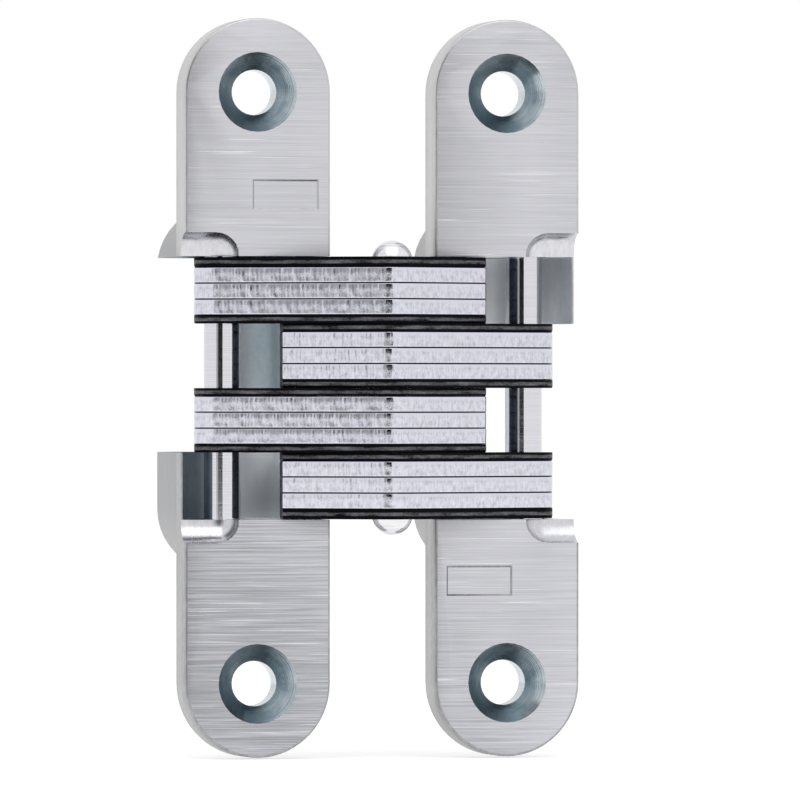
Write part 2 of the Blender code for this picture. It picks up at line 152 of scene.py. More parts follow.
class Signal:
    """A node's output that takes part in Python arithmetic."""

    def __init__(self, graph: Graph, socket: bpy.types.NodeSocket) -> None:
        """Wrap a socket of a graph."""
        self.graph = graph
        self.socket = socket

    def _join(self, operation: str, left: Any, right: Any = 0.0) -> Signal:
        """Add a Math node on two values and return its output."""
        node = self.graph.node("ShaderNodeMath", {0: left, 1: right}, operation=operation)
        return Signal(self.graph, node.outputs[0])

    def __add__(self, other: Any) -> Signal:
        """Sum."""
        return self._join("ADD", self, other)

    __radd__ = __add__

    def __sub__(self, other: Any) -> Signal:
        """Difference."""
        return self._join("SUBTRACT", self, other)

    def __rsub__(self, other: Any) -> Signal:
        """Difference from a number."""
        return self._join("SUBTRACT", other, self)

    def __mul__(self, other: Any) -> Signal:
        """Product."""
        return self._join("MULTIPLY", self, other)

    __rmul__ = __mul__

    def __pow__(self, other: Any) -> Signal:
        """Power."""
        return self._join("POWER", self, other)

    def __abs__(self) -> Signal:
        """Size without its sign."""
        return self._join("ABSOLUTE", self)

    def above(self, level: float) -> Signal:
        """One where the signal is above a level, else zero."""
        return self._join("GREATER_THAN", self, level)

    def between(self, low: float, high: float) -> Signal:
        """A smooth step from zero at low to one at high."""
        inputs = {"Value": self, "From Min": low, "From Max": high}
        node = self.graph.node("ShaderNodeMapRange", inputs, interpolation_type="SMOOTHSTEP")
        return Signal(self.graph, node.outputs[0])


class Graph:
    """The nodes of one material, or of the world."""

    def __init__(self, name: str) -> None:
        """Start a material with an empty tree.

        Args:
            name: The material's name.
        """
        self.material = bpy.data.materials.new(name)
        self.material.use_nodes = True
        self.tree = self.material.node_tree
        self.tree.nodes.clear()
        self.output = "ShaderNodeOutputMaterial"

    @classmethod
    def of(cls, world: bpy.types.World) -> Graph:
        """The nodes of a world, emptied."""
        graph = cls.__new__(cls)
        graph.tree = world.node_tree
        graph.tree.nodes.clear()
        graph.output = "ShaderNodeOutputWorld"
        return graph

    def node(self, kind: str, inputs: Values | None = None, **settings: Any) -> bpy.types.Node:
        """Add a node, set it, then fill its sockets with values or links.

        Args:
            kind: Blender's type of the node.
            inputs: Socket names or numbers, with a value or a Signal each.
            settings: Attributes of the node, set first.

        Returns:
            The node.
        """
        made = self.tree.nodes.new(kind)
        for key, value in settings.items():
            setattr(made, key, value)
        for key, value in (inputs or {}).items():
            if isinstance(value, Signal):
                self.tree.links.new(value.socket, made.inputs[key])
            else:
                made.inputs[key].default_value = value
        return made

    def coordinates(self, source: Source, stretch: Triple = UNSTRETCHED, shift: Triple = UNMOVED) -> Signal:
        """Coordinates in metres, stretched and then shifted.

        Args:
            source: What they follow.
            stretch: Cycles of a pattern a metre along each axis.
            shift: What is added after the stretch.

        Returns:
            The coordinates.
        """
        read_from = self.node("ShaderNodeTexCoord").outputs[source.value]
        inputs = {"Vector": Signal(self, read_from), "Scale": stretch, "Location": shift}
        return Signal(self, self.node("ShaderNodeMapping", inputs).outputs[0])

    def axis(self, vector: Signal, name: str) -> Signal:
        """One component of a vector, by its letter."""
        return Signal(self, self.node("ShaderNodeSeparateXYZ", {0: vector}).outputs[name])

    def noise(self, vector: Signal, detail: float = 2.0, rough: float = 0.5) -> Signal:
        """Noise about 0.5, one cycle a unit of its vector."""
        inputs = {"Vector": vector, "Scale": 1.0, "Detail": detail, "Roughness": rough}
        return Signal(self, self.node("ShaderNodeTexNoise", inputs).outputs[0])

    def colour(self, signal: Signal, stops: Stops) -> Signal:
        """A colour ramp over a signal.

        Args:
            signal: The signal.
            stops: Places and colours, from the lowest up.

        Returns:
            The colour.
        """
        node = self.node("ShaderNodeValToRGB", {0: signal})
        elements = node.color_ramp.elements
        while len(elements) < len(stops):
            elements.new(0.5)
        for element, (place, colour) in zip(elements, stops):
            element.position = place
            element.color = (*colour, 1.0)
        return Signal(self, node.outputs["Color"])

    def bump(self, height: Signal, depth: float) -> Signal:
        """A bumped normal, from a height of 0 to 1 and its depth in metres."""
        inputs = {"Height": height, "Distance": depth, "Strength": 1.0}
        return Signal(self, self.node("ShaderNodeBump", inputs).outputs[0])

    def finish(self, **sockets: Any) -> bpy.types.Material:
        """Close the material with a Principled shader.

        Args:
            sockets: The shader's sockets, with spaces as underscores, and their values or links.

        Returns:
            The material.
        """
        named = {key.replace("_", " "): value for key, value in sockets.items()}
        self.show(self.node("ShaderNodeBsdfPrincipled", named))
        return self.material

    def matt(self, tone: float) -> bpy.types.Node:
        """A matt shader of a grey."""
        return self.node("ShaderNodeBsdfDiffuse", {"Color": (tone, tone, tone, 1.0)})

    def show(self, shader: bpy.types.Node) -> None:
        """Send a shader to the output."""
        self.node(self.output, {"Surface": Signal(self, shader.outputs[0])})


# Finishes


Paint = tuple[Signal, Signal, Signal]


@dataclass(frozen=True)
class Grain:
    """A noise pattern of a finish, of values about 0.5."""

    cycles: Triple  # in a metre along each axis
    shift: Triple = UNMOVED
    detail: float = 2.0
    rough: float = 0.5
    source: Source = Source.PLACE

    def on(self, graph: Graph) -> Signal:
        """The pattern in a material."""
        coordinates = graph.coordinates(self.source, self.cycles, self.shift)
        return graph.noise(coordinates, self.detail, self.rough)


@dataclass(frozen=True, kw_only=True)
class Finish:
    """What the metal finishes share: patterns of noise paint a Principled shader."""

    name: str
    colours: Stops  # over the tone
    roughness: float
    uneven: float  # how far the roughness spreads with its pattern
    depth: float  # of the relief
    metallic: float = 1.0
    specular: float = 0.5

    def paint(self, graph: Graph) -> Paint:
        """Draw the patterns, as each kind of finish does.

        Args:
            graph: The material's nodes.

        Returns:
            The tone, the roughness's pattern and the relief's height, all about 0.5.
        """
        raise NotImplementedError

    def make(self) -> bpy.types.Material:
        """Build the material."""
        graph = Graph(self.name)
        tone, pattern, height = self.paint(graph)
        return graph.finish(
            Base_Color=graph.colour(tone, self.colours),
            Metallic=self.metallic,
            Roughness=pattern * self.uneven + (self.roughness - self.uneven / 2),
            Specular_IOR_Level=self.specular,
            Normal=graph.bump(height, self.depth),
        )


@dataclass(frozen=True, kw_only=True)
class SatinFace(Finish):
    """The leaf's face: satin chrome, brushed across in fine lines with some bright scratches, and darker
    towards the left leaf's foot by painted shade.
    """

    name: str = "satin face"
    colours: Stops = ((0.20, (0.34, 0.345, 0.365)), (0.55, (0.615, 0.615, 0.65)), (0.95, (0.86, 0.86, 0.88)))
    mean: float = 0.42  # of the tone, before the patterns
    roughness: float = 0.36
    uneven: float = 0.16
    depth: float = 0.010 * MM
    lines: Grain = Grain((1 / (16.0 * MM), 1 / (16.0 * MM), 1 / (0.15 * MM)), detail=4.0, rough=0.65)
    contrast: float = 0.45  # of the lines
    clouds: Grain = Grain((90.0, 90.0, 60.0))
    cloudy: float = 0.16
    scratches: Grain = Grain((1 / (13.0 * MM), 1 / (13.0 * MM), 1 / (0.17 * MM)), (3.0, 0.0, 7.0), 1.0)
    scratched: Pair = (0.69, 0.78)  # of their noise, from none to a whole one
    scratch_tone: float = 0.28
    scratch_gloss: float = 0.625  # taken off the roughness's pattern
    scratch_height: float = 0.4
    to_foot: Pair = (-0.75, -0.65)  # X and Z, towards the left leaf's foot
    # painted shade darkens the face over this same span
    worn_and_shaded: Pair = (-5.0 * MM, 42.0 * MM)  # that way, where the brushing deepens
    worn_contrast: float = 0.75
    worn_scratches: float = 0.05
    # painted shade: how much darker the face gets towards the foot
    painted_foot_shade: float = 0.21

    def paint(self, graph: Graph) -> Paint:
        """Lines, clouds and scratches, and painted shade towards the foot."""
        place = graph.coordinates(Source.PLACE)
        foot = graph.axis(place, "X") * self.to_foot[0] + graph.axis(place, "Z") * self.to_foot[1]
        worn_and_shaded = foot.between(*self.worn_and_shaded)
        lines = self.lines.on(graph)
        scratch = (self.scratches.on(graph) + worn_and_shaded * self.worn_scratches).between(*self.scratched)
        brushed = (lines - 0.5) * (worn_and_shaded * self.worn_contrast + self.contrast)
        cloud = self.clouds.on(graph) * self.cloudy
        # painted shade: the tone falls towards the left leaf's foot
        tone = brushed + cloud + scratch * self.scratch_tone - worn_and_shaded * self.painted_foot_shade + self.mean
        height = lines * (worn_and_shaded + 0.5) + scratch * self.scratch_height
        return tone, lines - scratch * self.scratch_gloss, height


@dataclass(frozen=True, kw_only=True)
class PlatedSide(Finish):
    """A plated side of the casting: satin with a faint drag along the depth, and painted shade that darkens
    it below.
    """

    name: str = "plated side"
    colours: Stops = ((0.0, (0.31, 0.31, 0.32)), (0.3, (0.48, 0.48, 0.485)), (0.7, (0.59, 0.59, 0.595)))
    roughness: float = 0.34
    uneven: float = 0.12
    depth: float = 0.008 * MM
    drag: Grain = Grain((2500.0, 2500.0, 120.0))
    grain: Grain = Grain((900.0, 900.0, 900.0), (5.0, 1.0, 2.0), 3.0)
    # painted shade: how far the tone drops below, and between which heights
    painted_shade: float = 0.42
    unshaded_above: float = 24.0 * MM
    shaded_below: float = 12.0 * MM

    def paint(self, graph: Graph) -> Paint:
        """Drag and grain, and painted shade below."""
        grain = self.grain.on(graph)
        tone = self.drag.on(graph) * 0.5 + grain * 0.5
        down = graph.axis(graph.coordinates(Source.PLACE), "Z") * -1.0
        # painted shade, from none high up to its whole below
        shade_mask = down.between(-self.unshaded_above, -self.shaded_below)
        return tone - shade_mask * self.painted_shade, grain, tone


CAST_CASING = PlatedSide(
    name="cast casing",
    colours=((0.3, (0.27, 0.275, 0.28)), (0.7, (0.36, 0.36, 0.37))),
    roughness=0.4,
    painted_shade=0.0,
)
RIVET_SEAT = PlatedSide(
    name="rivet seat",
    colours=((0.3, (0.52, 0.52, 0.55)), (0.7, (0.68, 0.68, 0.71))),
    roughness=0.27,
    painted_shade=0.0,
)


@dataclass(frozen=True, kw_only=True)
class PocketMetal(Finish):
    """The pockets' plated inside: cooler than the outside, with painted shade in the left one's far corner,
    its upper part and by the right leaf's outer wall.
    """

    name: str = "pocket metal"
    colours: Stops = ((0.1, (0.14, 0.21, 0.26)), (0.5, (0.50, 0.55, 0.57)), (0.9, (0.92, 0.94, 0.96)))
    mean: float = 0.75  # of the tone, before the patterns
    roughness: float = 0.50
    uneven: float = 0.16
    depth: float = 0.01 * MM
    patches: Grain = Grain((160.0, 160.0, 160.0), (1.0, 4.0, 2.0), 3.0)
    patchy: float = 0.35
    grain: Grain = Grain((1500.0, 1500.0, 1500.0))
    grainy: float = 0.15
    # painted shade: where it falls, and how much it darkens the tone
    corner: Pair = (16.5 * MM, 19.5 * MM)  # to the left of the hinge's middle
    corner_shade: float = 0.75
    upper: Pair = (-11.0 * MM, 2.0 * MM)  # heights on the left
    upper_shade: float = 0.30
    inner: Pair = (11.0 * MM, 14.5 * MM)  # to the left, for the upper part's near end
    inner_shade: float = 0.36
    wall: Pair = (-23.0 * MM, -21.5 * MM)  # to the left, so on the right leaf's outer wall
    wall_shade: float = 0.18

    def paint(self, graph: Graph) -> Paint:
        """Patches and grain, darkened in places by painted shade."""
        grain = self.grain.on(graph)
        place = graph.coordinates(Source.PLACE)
        left = graph.axis(place, "X") * -1.0
        upper = graph.axis(place, "Z").between(*self.upper) * left.above(0.0)
        inner = upper * (1.0 - left.between(*self.inner))
        # painted shade: the far corner, the upper part and its near end, and the outer wall
        corner_and_upper_shade = left.between(*self.corner) * self.corner_shade + upper * self.upper_shade
        shaded = inner * self.inner_shade + (1.0 - left.between(*self.wall)) * self.wall_shade
        tone = self.patches.on(graph) * self.patchy + grain * self.grainy + self.mean - corner_and_upper_shade - shaded
        return tone, grain, grain


@dataclass(frozen=True, kw_only=True)
class TurnedSink(Finish):
    """The countersinks: turned, with fine rings, a cool grey from the plating, and darker to the lower left
    by painted shade.
    """

    centre_x: float
    centre_z: float
    name: str = "turned countersink"
    colours: Stops = ((0.3, (0.24, 0.31, 0.35)), (0.7, (0.66, 0.70, 0.72)))
    roughness: float = 0.20
    uneven: float = 0.14
    depth: float = 0.01 * MM
    ring_pitch: float = 0.16 * MM
    ringed: float = 0.55
    patches: Grain = Grain((500.0, 500.0, 500.0), detail=3.0)
    patchy: float = 0.45
    # painted shade: which way, how far and how much it darkens round each hole
    to_shade: Pair = (-0.6, -0.8)  # X and Z, to the lower left of the hole's axis
    shade_reach: float = 4.5 * MM
    painted_shade: float = 0.3

    @staticmethod
    def from_nearer(axis: Signal, centre: float) -> Signal:
        """Distance along an axis from the nearer of two centres, one on each side of zero."""
        return axis - (axis.above(0.0) * 2.0 - 1.0) * centre

    def paint(self, graph: Graph) -> Paint:
        """Patches, and rings of noise over the distance from the nearest hole's axis, with painted shade to
        the lower left.
        """
        place = graph.coordinates(Source.PLACE)
        across = self.from_nearer(graph.axis(place, "X"), self.centre_x)
        up = self.from_nearer(graph.axis(place, "Z"), self.centre_z)
        distance = (across * across + up * up) ** 0.5
        lined = graph.node("ShaderNodeCombineXYZ", {"X": distance * (1 / self.ring_pitch)})
        rings = graph.noise(Signal(graph, lined.outputs[0]))
        patch = self.patches.on(graph)
        # painted shade to the lower left of each hole
        shade_mask = (across * self.to_shade[0] + up * self.to_shade[1]).between(0.0, self.shade_reach)
        tone = rings * self.ringed + patch * self.patchy - shade_mask * self.painted_shade
        return tone, patch, rings


@dataclass(frozen=True, kw_only=True)
class ShearedSteel(Finish):
    """A silver plate: its edge is burnished along the top and torn below, with painted shade along the seams
    with the next plates.
    """

    name: str = "sheared steel"
    colours: Stops = (
        (0.12, (0.012, 0.012, 0.018)),
        (0.36, (0.46, 0.46, 0.51)),
        (0.56, (0.68, 0.68, 0.76)),
    )
    roughness: float = 0.15
    uneven: float = 0.2
    depth: float = 0.020 * MM
    drag: Grain = Grain((3600.0, 1000.0, 1.0), detail=4.0, rough=0.65, source=Source.EDGE)
    torn: Grain = Grain((1500.0, 1100.0, 1.0), (9.0, 2.0, 0.0), 3.0, 0.6, source=Source.EDGE)
    half: float = 1.025 * MM  # of the plate's thickness
    # painted shade: width of the dark line along each seam
    seam_shade_width: float = 0.13 * MM
    burnished: Pair = (0.35, 0.7)  # shares of half
    burnished_calm: float = 0.75
    burnished_tone: float = 0.05

    def paint(self, graph: Graph) -> Paint:
        """Marks on the piece's own map, which runs along the edge and up from its middle."""
        height = graph.axis(graph.coordinates(Source.EDGE), "Y")
        shiny = height.between(self.burnished[0] * self.half, self.burnished[1] * self.half)
        # painted shade along both seams
        low_seam_shade = (height * -1.0).between(self.half - self.seam_shade_width, self.half - 0.6 * self.seam_shade_width)
        high_seam_shade = height.between(self.half - 0.8 * self.seam_shade_width, self.half - 0.4 * self.seam_shade_width)
        marks = self.drag.on(graph) * 0.5 + self.torn.on(graph) * 0.5
        calm = (marks - 0.5) * (1.0 - shiny * self.burnished_calm) + 0.5
        tone = (calm + shiny * self.burnished_tone) * (1.0 - low_seam_shade) * (1.0 - high_seam_shade)
        return tone, calm, calm


@dataclass(frozen=True, kw_only=True)
class BlackenedSteel(Finish):
    """A black plate: a thin black finish over sheared steel, lighter in places, and painted shade along the
    rims of its edge, next to the other plates.
    """

    name: str = "blackened steel"
    colours: Stops = ((0.36, (0.002, 0.002, 0.004)), (0.62, (0.18, 0.18, 0.20)))
    roughness: float = 0.42
    uneven: float = 0.3
    depth: float = 0.05 * MM
    metallic: float = 0.5
    specular: float = 0.12
    drag: Grain = Grain((260.0, 1500.0, 1.0), (2.0, 6.0, 0.0), 4.0, 0.6, source=Source.EDGE)
    grain: Grain = Grain((2200.0, 2600.0, 1.0), (4.0, 1.0, 0.0), 3.0, 0.6, source=Source.EDGE)
    half: float = 0.53 * MM  # of the plate's thickness
    rim: Pair = (0.25, 0.8)  # shares of half, from the lighter middle to the matt rims, which painted shade darkens
    rim_tone: float = 0.15

    def paint(self, graph: Graph) -> Paint:
        """Lighter along the middle of the edge, with painted shade at its rims."""
        height = abs(graph.axis(graph.coordinates(Source.EDGE), "Y"))
        drag, grain = self.drag.on(graph), self.grain.on(graph)
        # painted shade towards the rims, next to the other plates
        middle = 1.0 - height.between(self.rim[0] * self.half, self.rim[1] * self.half)
        tone = (drag * 0.75 + grain * 0.25) * (middle * (1 - self.rim_tone) + self.rim_tone)
        return tone, drag + (1.0 - middle), drag * 0.6 + grain * 0.4


@dataclass(frozen=True)
class PaintedEndShade:
    """Painted shade on the plates' ends inside the pockets: a dark, mottled metal in place of their silver.
    """

    name: str = "shaded plate end"
    colours: Stops = ((0.3, (0.045, 0.05, 0.0625)), (0.7, (0.09, 0.10, 0.125)))
    roughness: float = 0.45
    metallic: float = 0.5
    specular: float = 0.15
    mottle: Grain = Grain((900.0, 1400.0, 1.0), (1.0, 5.0, 0.0), 3.0, source=Source.EDGE)

    def make(self) -> bpy.types.Material:
        """Build the material."""
        graph = Graph(self.name)
        # painted shade: a dark colour with a faint mottle
        colour = graph.colour(self.mottle.on(graph), self.colours)
        constants = {"Metallic": self.metallic, "Specular IOR Level": self.specular}
        return graph.finish(Base_Color=colour, Roughness=self.roughness, **constants)


@dataclass(frozen=True, kw_only=True)
class PolishedSteel(Finish):
    """The pins: ground and polished, with fine rings round them."""

    name: str = "polished steel"
    colours: Stops = ((0.3, (0.651, 0.651, 0.6882)), (0.7, (0.70, 0.70, 0.74)))
    roughness: float = 0.07
    uneven: float = 0.06
    depth: float = 0.001 * MM
    rings: Grain = Grain((60.0, 60.0, 6000.0))

    def paint(self, graph: Graph) -> Paint:
        """Rings along the height."""
        rings = self.rings.on(graph)
        return rings, rings, rings


SPUN_HEAD = PolishedSteel(
    name="spun rivet head",
    colours=((0.3, (0.672, 0.672, 0.688)), (0.65, (0.84, 0.84, 0.86))),
    roughness=0.17,
    uneven=0.14,
    depth=0.01 * MM,
    rings=Grain((120.0, 120.0, 1 / (0.22 * MM))),
)


# Surfaces worked out with numpy


def mesh_from(
    name: str, points: Array, quads: Array, triangles: Array | None = None, along: Array | None = None
) -> bpy.types.Mesh:
    """Put arrays into a mesh.

    Args:
        name: The mesh's name.
        points: (n, 3) places.
        quads: (m, 4) corners of the four-sided faces.
        triangles: (k, 3) corners of the three-sided faces.
        along: (n, 2) surface coordinates in metres, for the UV map.

    Returns:
        The mesh, shaded smooth but for its sharper edges.
    """
    faces = quads.tolist() + ([] if triangles is None else triangles.tolist())
    mesh = bpy.data.meshes.new(name)
    mesh.from_pydata(points.tolist(), [], faces)
    if along is not None:
        corners = read(mesh.loops, "vertex_index", 1, np.int32).ravel()
        layer = mesh.uv_layers.new(name="surface")
        layer.data.foreach_set("uv", along[corners].astype(np.float32).ravel())
    mesh.validate()
    mesh.shade_smooth()
    mesh.set_sharp_from_angle(angle=SMOOTH_BELOW)
    return mesh


def read(elements: bpy.types.bpy_prop_collection, key: str, width: int, kind: type = np.float32) -> Array:
    """Read an attribute of a mesh's elements.

    Args:
        elements: The elements.
        key: The attribute.
        width: How many numbers each element has.
        kind: Their type.

    Returns:
        (n, width) numbers.
    """
    values = np.empty(len(elements) * width, kind)
    elements.foreach_get(key, values)
    return values.reshape(-1, width)


def ring_quads(rows: int, columns: int, first: int = 0) -> Array:
    """Faces of a closed band of points, row by row.

    Args:
        rows: Rows of points.
        columns: Points in a row, the last next to the first.
        first: Number of the first point.

    Returns:
        (m, 4) corners, facing out where rows rise and columns run anticlockwise.
    """
    row = np.arange(rows - 1)[:, None] * columns
    here = np.arange(columns)[None, :]
    beside = (here + 1) % columns
    faces = np.stack([row + here, row + beside, row + columns + beside, row + columns + here], axis=-1)
    return faces.reshape(-1, 4) + first


def towards(angle: Array | float) -> Array:
    """Unit vectors, x = cos a and y = sin a."""
    return np.stack([np.cos(angle), np.sin(angle)], axis=-1)


def lathe(name: str, profile: Array, axis: Array, segments: int) -> bpy.types.Mesh:
    """A turned form: each profile point runs round the axis, x = r cos a, y = r sin a.

    Args:
        name: The mesh's name.
        profile: (p, 2) radius and height, from the lowest pole to the highest.
        axis: The axis's X and Y.
        segments: Points round.

    Returns:
        The mesh, closed by a fan on each end.
    """
    angle = np.linspace(0, 2 * math.pi, segments, endpoint=False)
    flat = axis + profile[:, 0][:, None, None] * towards(angle)
    heights = np.broadcast_to(profile[:, 1][:, None, None], (*flat.shape[:2], 1))
    points = np.concatenate([flat, heights], axis=-1).reshape(-1, 3)
    poles = np.array([[axis[0], axis[1], profile[0, 1]], [axis[0], axis[1], profile[-1, 1]]])
    last = (len(profile) - 1) * segments
    here = np.arange(segments)
    beside = (here + 1) % segments
    low = np.stack([np.full(segments, len(points)), beside, here], axis=-1)
    high = np.stack([np.full(segments, len(points) + 1), last + here, last + beside], axis=-1)
    quads = ring_quads(len(profile), segments)
    return mesh_from(name, np.concatenate([points, poles]), quads, np.concatenate([low, high]))


def arc_points(centre: Array, radius: float, start: float, end: float, pitch: float) -> Array:
    """Points along an arc, x = r cos a and y = r sin a about a centre.

    Args:
        centre: The arc's centre.
        radius: Its radius.
        start: First angle.
        end: Last angle, below start for a clockwise arc.
        pitch: Greatest distance between points.

    Returns:
        (n, 2) places.
    """
    steps = max(2, math.ceil(abs(end - start) * radius / pitch)) + 1
    angle = np.linspace(start, end, steps)
    return centre + radius * towards(angle)


def spread(outline: Array, pitch: float) -> tuple[Array, Array]:
    """Space a closed outline's points evenly.

    Args:
        outline: (n, 2) corners, anticlockwise.
        pitch: Wanted distance between points.

    Returns:
        The new points, and how far each lies along the outline.
    """
    closed = np.vstack([outline, outline[:1]])
    length = np.concatenate([[0], np.cumsum(np.linalg.norm(np.diff(closed, axis=0), axis=1))])
    count = int(length[-1] / pitch)
    at = np.linspace(0, length[-1], count, endpoint=False)
    return np.stack([np.interp(at, length, closed[:, k]) for k in (0, 1)], axis=-1), at


def outward(outline: Array) -> Array:
    """Unit normals of an anticlockwise closed outline: the tangent turned clockwise."""
    tangent = np.roll(outline, -1, axis=0) - np.roll(outline, 1, axis=0)
    normal = np.stack([tangent[:, 1], -tangent[:, 0]], axis=-1)
    return normal / np.linalg.norm(normal, axis=1, keepdims=True)


def put(name: str, data: bpy.types.ID) -> bpy.types.Object:
    """Put a new object in the scene."""
    made = bpy.data.objects.new(name, data)
    bpy.context.scene.collection.objects.link(made)
    return made


def add_piece(mesh: bpy.types.Mesh, body: str, node: str) -> bpy.types.Object:
    """Stand a mesh in for a CAD node and let it ride on the node's body.

    Args:
        mesh: The mesh, whose name the piece takes.
        body: The body.
        node: The node.

    Returns:
        The piece.
    """
    piece = put(mesh.name, mesh)
    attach(piece, body)
    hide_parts(node)
    LOG.info("%s rides on %s with %d faces", mesh.name, body, len(mesh.polygons))
    return piece


# The linkage


@dataclass
class Pivots:
    """The five axes of the linkage in the X-Y plane, read from the frame."""

    frame: dict[str, Any]
    rivet: Array = field(init=False)
    fixed: dict[Side, Array] = field(init=False)
    slide: dict[Side, Array] = field(init=False)

    def __post_init__(self) -> None:
        """Take the hinge axes from the joints and the slide pins' from their boxes."""
        axes = {joint["name"]: np.array(joint["pos_m"][:2]) for joint in self.frame["joints"]}
        self.rivet = axes["scissor"]
        self.fixed = {Side.LEFT: axes["fold"], Side.RIGHT: axes["leaf_swing"]}
        self.slide = {
            Side.LEFT: self.middle("left_slide_pin"),
            Side.RIGHT: self.middle("right_slide_pin"),
        }

    @staticmethod
    def middle(node: str) -> Array:
        """X and Y of the middle of a node's box."""
        low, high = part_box(node)
        return np.array([(low.x + high.x) / 2, (low.y + high.y) / 2])


@dataclass
class LinkOutline:
    """The outline that all twenty plates share, drawn for set A and mirrored for set B."""

    pivots: Pivots
    hub_radius: float = 3.2 * MM
    long_end_radius: float = 3.63 * MM
    short_end_radius: float = 3.2 * MM
    toe_radius: float = 0.7 * MM
    toe_from_fixed: Pair = (3.8 * MM, -5.38 * MM)
    long_end_from_slide: Pair = (-0.1 * MM, -0.3 * MM)
    crotch_radius: float = 2.0 * MM
    relief_radius: float = 1.94 * MM
    pitch: float = 0.1 * MM

    @staticmethod
    def tangent(near: Circle, far: Circle) -> float:
        """Outward angle of the tangent from one circle to another with the metal on its left.

        The normal's dot product with the span between the centres is the radii's difference.
        """
        span = far[0] - near[0]
        return math.atan2(span[1], span[0]) - math.acos((near[1] - far[1]) / np.linalg.norm(span))

    @staticmethod
    def after(angle: float, start: float) -> float:
        """The same angle, at or above start."""
        return start + (angle - start) % (2 * math.pi)

    def crotch(self, ends: Sequence[Circle], backs: Sequence[float]) -> Array:
        """Centre of the fillet behind the hub: its radius away from both arms' back edges.

        Args:
            ends: The arms' ends.
            backs: Outward angles of their back edges.

        Returns:
            The centre.
        """
        normals = towards(np.array(backs))
        pairs = zip(normals, ends)
        offsets = [normal @ centre + radius + self.crotch_radius for normal, (centre, radius) in pairs]
        return np.linalg.solve(normals, offsets)

    def draw(self) -> Array:
        """The set A outline: arcs joined by their tangents.

        Returns:
            (n, 2) places about the rivet, anticlockwise.
        """
        rivet = self.pivots.rivet
        long_pin = self.pivots.slide[Side.LEFT] - rivet
        short_pin = self.pivots.fixed[Side.RIGHT] - rivet
        other_pin = self.pivots.fixed[Side.LEFT] - rivet
        long_end = (long_pin + np.array(self.long_end_from_slide), self.long_end_radius)
        hub = (np.zeros(2), self.hub_radius)
        toe = (short_pin + np.array(self.toe_from_fixed), self.toe_radius)
        short_end = (short_pin, self.short_end_radius)

        path = (long_end, hub, toe, short_end, hub, long_end)
        edges = [self.tangent(*path[:2])]
        for near, far in zip(path[1:], path[2:]):
            edges.append(self.after(self.tangent(near, far), edges[-1]))
        long_front, toe_front, toe_back, short_back, long_back = edges
        long_back -= 2 * math.pi

        crotch = self.crotch((short_end, long_end), (short_back, long_back))
        to_edge = self.long_end_radius - (other_pin - long_end[0]) @ towards(long_back)
        half = math.acos(to_edge / self.relief_radius)
        arcs = [
            (*long_end, long_back, self.after(long_front, long_back)),
            (*hub, long_front, toe_front),
            (*toe, toe_front, toe_back),
            (*short_end, toe_back, short_back),
            (crotch, self.crotch_radius, short_back + math.pi, long_back + math.pi),
            (other_pin, self.relief_radius, long_back - half, long_back + half - 2 * math.pi),
        ]
        return np.vstack([arc_points(*arc, self.pitch) for arc in arcs])

    def of(self, links: Set) -> tuple[Array, Array]:
        """The outline of one set.

        Args:
            links: The set.

        Returns:
            Its points, evenly spaced, and how far each lies along it.
        """
        drawn = self.draw()
        if links is Set.B:
            drawn = drawn[::-1] * (-1, 1)
        return spread(drawn, self.pitch)

    def holes(self, links: Set, clearance: float) -> list[Circle]:
        """The three holes of one set.

        Args:
            links: The set.
            clearance: Gap round each pin.

        Returns:
            The holes, about the rivet.
        """
        long_side, short_side = links.value
        pins = (
            (self.pivots.rivet, RivetDress.shank / 2),
            (self.pivots.fixed[short_side], node_width("left_fixed_pin") / 2),
            (self.pivots.slide[long_side], node_width("left_slide_pin") / 2),
        )
        return [(axis - self.pivots.rivet, radius + clearance) for axis, radius in pins]


def node_width(node: str) -> float:
    """Width of a node's box along X."""
    low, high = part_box(node)
    return high.x - low.x


@dataclass(frozen=True)
class EdgeProfile:
    """The section of a stamped plate's edge, from its upper face to its lower.

    The die rolls the upper corner over, shears the middle flat and tears the rest,
    which leaves it a little short.
    """

    insets: tuple[float, ...]  # how far in from the outline, in millimetres
    depths: tuple[float, ...]  # how far down, as shares of the thickness
    drag: float  # height of the drag marks

    def rows(self, thickness: float) -> Array:
        """The section's points for a plate.

        Args:
            thickness: The plate's.

        Returns:
            (p, 3) inset, height and share of the drag marks, from the lower face up.
        """
        down = np.array(self.depths)
        marks = np.sin(math.pi * down) ** 0.5
        return np.stack([np.array(self.insets) * MM, thickness * (0.5 - down), marks], axis=-1)[::-1]


SILVER_EDGE = EdgeProfile(
    insets=(0.14, 0.07, 0.035, 0.012, 0.0, 0.0, 0.01, 0.015, 0.02, 0.025, 0.05),
    depths=(0.0, 0.015, 0.055, 0.12, 0.22, 0.42, 0.58, 0.74, 0.88, 0.975, 1.0),
    drag=0.022 * MM,
)
BLACK_EDGE = EdgeProfile(
    insets=(0.10, 0.03, 0.01, 0.0, 0.0, 0.03, 0.09, 0.18),
    depths=(0.0, 0.04, 0.12, 0.35, 0.65, 0.86, 0.97, 1.0),
    drag=0.03 * MM,
)


